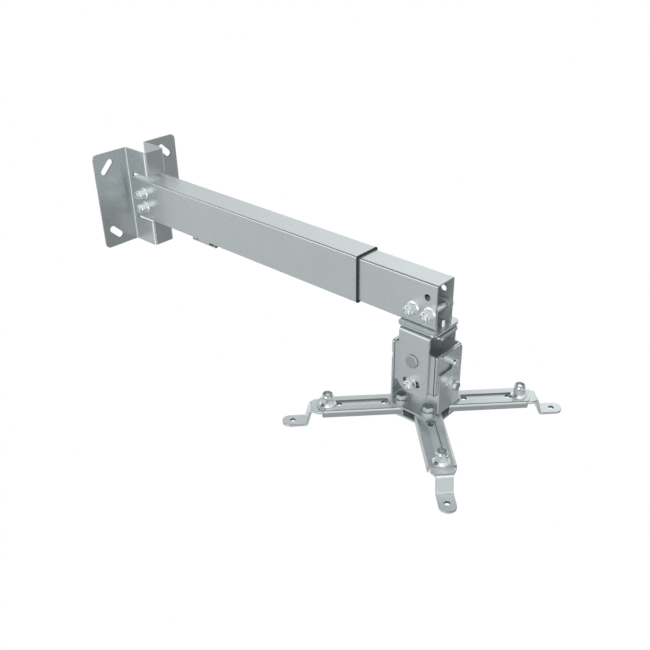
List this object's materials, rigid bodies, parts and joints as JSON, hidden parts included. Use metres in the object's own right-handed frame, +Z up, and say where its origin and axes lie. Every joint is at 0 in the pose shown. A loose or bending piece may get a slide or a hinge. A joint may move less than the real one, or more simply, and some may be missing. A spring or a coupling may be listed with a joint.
{
  "type": "telescopic projector wall mount",
  "caption": "Wall bracket with a telescopic steel tube whose end carries a swivelling, tilting head with slotted arms and sliding feet for a projector.",
  "frame": {"origin": "on the wall plane, in line with the middle of the telescopic tube", "axes": "+Y into the wall, so the tube runs along -Y; +X to the right when facing the wall; +Z up"},
  "size_m": [0.2052, 0.5391, 0.1918],
  "materials": {
    "sheet": "bright zinc-plated sheet, glossy",
    "tube": "bright zinc-plated tube, satin",
    "fastener": "bright zinc-plated, glossy",
    "collar": "black, satin"
  },
  "bodies": {
    "wall": {"wall_bracket": "sheet", "outer_tube": "tube", "end_collar": "collar", "bracket_bolts": "fastener", "bracket_nuts": "fastener"},
    "extension": {"inner_tube": "tube", "lock_clamp": "sheet", "lock_bolts": "fastener", "lock_nut_plate": "sheet", "end_bracket": "sheet", "end_bolts": "fastener", "end_nuts": "fastener", "swivel_lock_stud": "fastener", "swivel_lock_nut": "fastener"},
    "swivel": {"yoke": "sheet", "swivel_washer": "sheet", "swivel_pivot_bolt": "fastener", "swivel_pivot_nut": "fastener", "tilt_rivets": "fastener"},
    "tilt": {"tilt_box": "sheet", "tilt_lock_bolt": "fastener", "tilt_lock_nut": "fastener", "roll_pivots": "fastener", "roll_lock_bolts": "fastener", "roll_nuts": "fastener"},
    "base": {"base_bracket": "sheet", "bottom_plate": "sheet", "base_bolts": "fastener", "base_nuts": "fastener"},
    "arm_1": {"arm_1": "sheet"},
    "foot_1": {"foot_strap_1": "sheet", "foot_bolt_1": "fastener", "foot_nut_1": "fastener"},
    "arm_2": {"arm_2": "sheet"},
    "foot_2": {"foot_strap_2": "sheet", "foot_bolt_2": "fastener", "foot_nut_2": "fastener"},
    "arm_3": {"arm_3": "sheet"},
    "foot_3": {"foot_strap_3": "sheet", "foot_bolt_3": "fastener", "foot_nut_3": "fastener"},
    "arm_4": {"arm_4": "sheet"},
    "foot_4": {"foot_strap_4": "sheet", "foot_bolt_4": "fastener", "foot_nut_4": "fastener"}
  },
  "joints": [
    {"name": "arm_extend", "type": "slide", "parent": "wall", "child": "extension", "axis": [0, -1, 0], "range_m": [-0.01, 0.205]},
    {"name": "head_swivel", "type": "hinge", "parent": "extension", "child": "swivel", "pos_m": [0, -0.4365, -0.025], "axis": [0, 0, 1], "range_deg": [-15, 15]},
    {"name": "head_tilt", "type": "hinge", "parent": "swivel", "child": "tilt", "pos_m": [0, -0.4356, -0.0585], "axis": [1, 0, 0], "range_deg": [-15, 15]},
    {"name": "head_roll", "type": "hinge", "parent": "tilt", "child": "base", "pos_m": [0, -0.4365, -0.057], "axis": [0, 1, 0], "range_deg": [-8, 8]},
    {"name": "arm_1_pivot", "type": "hinge", "parent": "base", "child": "arm_1", "pos_m": [0.016, -0.4205, -0.1135], "axis": [0, 0, 1], "range_deg": [-40, 40]},
    {"name": "foot_1_slide", "type": "slide", "parent": "arm_1", "child": "foot_1", "axis": [0.7071, 0.7071, 0], "range_m": [-0.006, 0.001]},
    {"name": "arm_2_pivot", "type": "hinge", "parent": "base", "child": "arm_2", "pos_m": [-0.016, -0.4205, -0.1135], "axis": [0, 0, 1], "range_deg": [-40, 40]},
    {"name": "foot_2_slide", "type": "slide", "parent": "arm_2", "child": "foot_2", "axis": [-0.7071, 0.7071, 0], "range_m": [-0.006, 0.001]},
    {"name": "arm_3_pivot", "type": "hinge", "parent": "base", "child": "arm_3", "pos_m": [-0.016, -0.4525, -0.1135], "axis": [0, 0, 1], "range_deg": [-40, 40]},
    {"name": "foot_3_slide", "type": "slide", "parent": "arm_3", "child": "foot_3", "axis": [-0.7071, -0.7071, 0], "range_m": [-0.006, 0.001]},
    {"name": "arm_4_pivot", "type": "hinge", "parent": "base", "child": "arm_4", "pos_m": [0.016, -0.4525, -0.1135], "axis": [0, 0, 1], "range_deg": [-40, 40]},
    {"name": "foot_4_slide", "type": "slide", "parent": "arm_4", "child": "foot_4", "axis": [0.7071, -0.7071, 0], "range_m": [-0.006, 0.001]}
  ]
}
